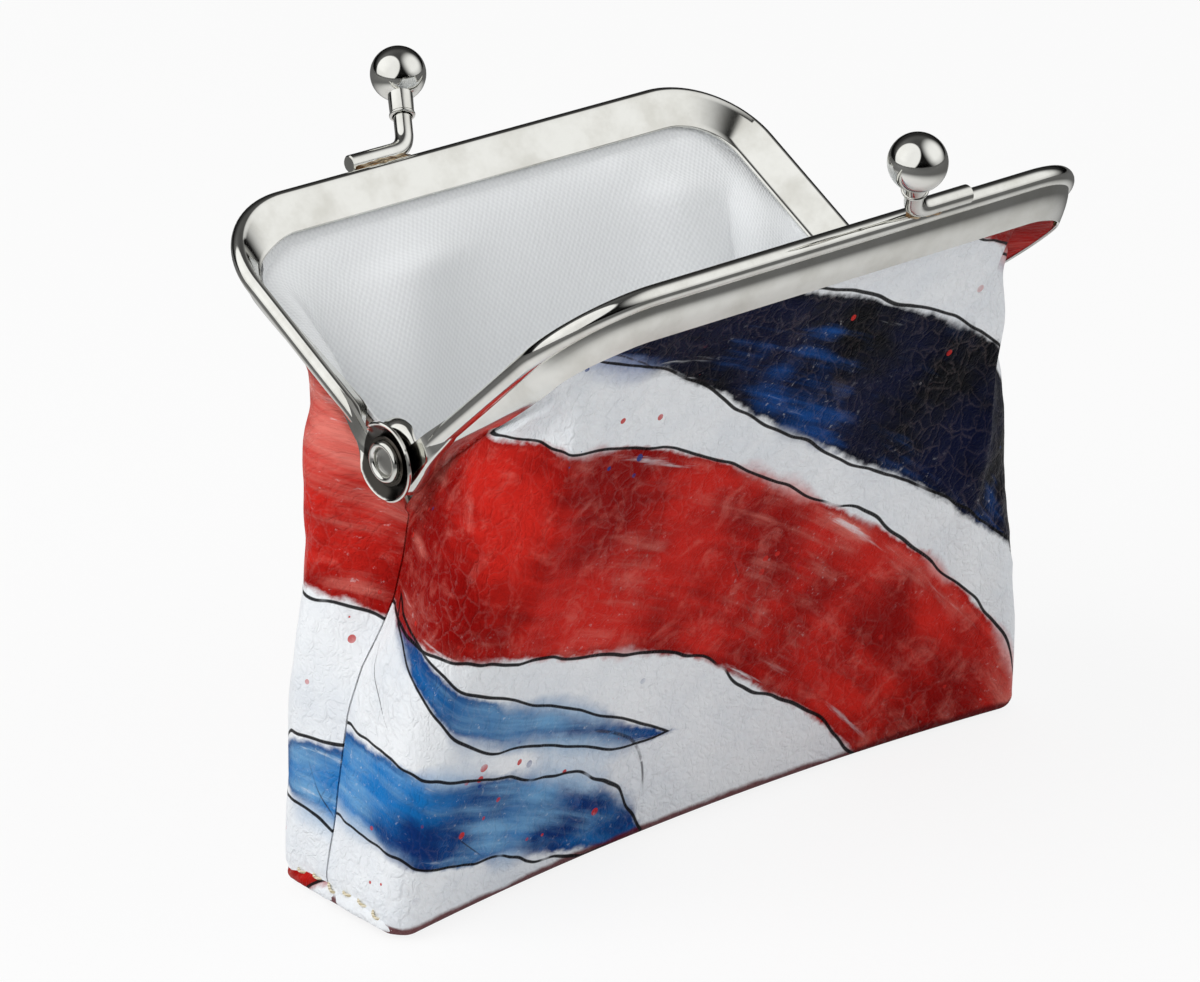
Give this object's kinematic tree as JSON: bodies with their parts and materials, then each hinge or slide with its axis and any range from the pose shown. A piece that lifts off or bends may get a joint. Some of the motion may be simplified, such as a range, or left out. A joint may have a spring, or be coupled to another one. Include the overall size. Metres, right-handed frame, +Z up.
{
  "type": "kiss-lock coin purse",
  "caption": "Kiss-lock coin purse standing open: hinged plated channel frames with a ball clasp hold a lined, box-bottomed bag of printed leatherette.",
  "frame": {"origin": "middle of the base's underside, on the ground, midway between the hinges", "axes": "+Z up; X along the hinge axis from hinge to hinge; -Y is the front, towards the frame with the ball on the right"},
  "size_m": [0.1038, 0.0931, 0.097],
  "materials": {
    "nickel": "bright nickel plate on pressed steel",
    "leatherette": "printed, fine pebbled grain with a soft sheen",
    "lining": "white cloth with a fine embossed diamond weave",
    "paper_cord": "twisted paper, matte",
    "thread": "cream sewing thread"
  },
  "bodies": {
    "bag": {"front_panel": "leatherette", "back_panel": "leatherette", "front_lining": "lining", "back_lining": "lining", "left_hinge_rivet": "nickel", "right_hinge_rivet": "nickel", "left_hinge_washer": "nickel", "right_hinge_washer": "nickel", "left_side_stitching": "thread", "right_side_stitching": "thread", "left_corner_stitching": "thread", "right_corner_stitching": "thread", "base_stitching": "thread"},
    "front_frame": {"front_frame": "nickel", "front_clasp_post": "nickel", "front_clasp_ball": "nickel", "front_channel_cord": "paper_cord"},
    "back_frame": {"back_frame": "nickel", "back_clasp_post": "nickel", "back_clasp_ball": "nickel", "back_channel_cord": "paper_cord"}
  },
  "joints": [
    {"name": "front_hinge", "type": "hinge", "parent": "bag", "child": "front_frame", "pos_m": [0, 0, 0.056], "axis": [1, 0, 0], "range_deg": [-47.5, 10], "deforming": ["front_panel", "front_lining"]},
    {"name": "back_hinge", "type": "hinge", "parent": "bag", "child": "back_frame", "pos_m": [0, 0, 0.056], "axis": [-1, 0, 0], "range_deg": [-61.5, 12.95], "deforming": ["back_panel", "back_lining"]}
  ],
  "couplings": [
    {"joint": "back_hinge", "follows": "front_hinge", "ratio": 1.2947}
  ]
}
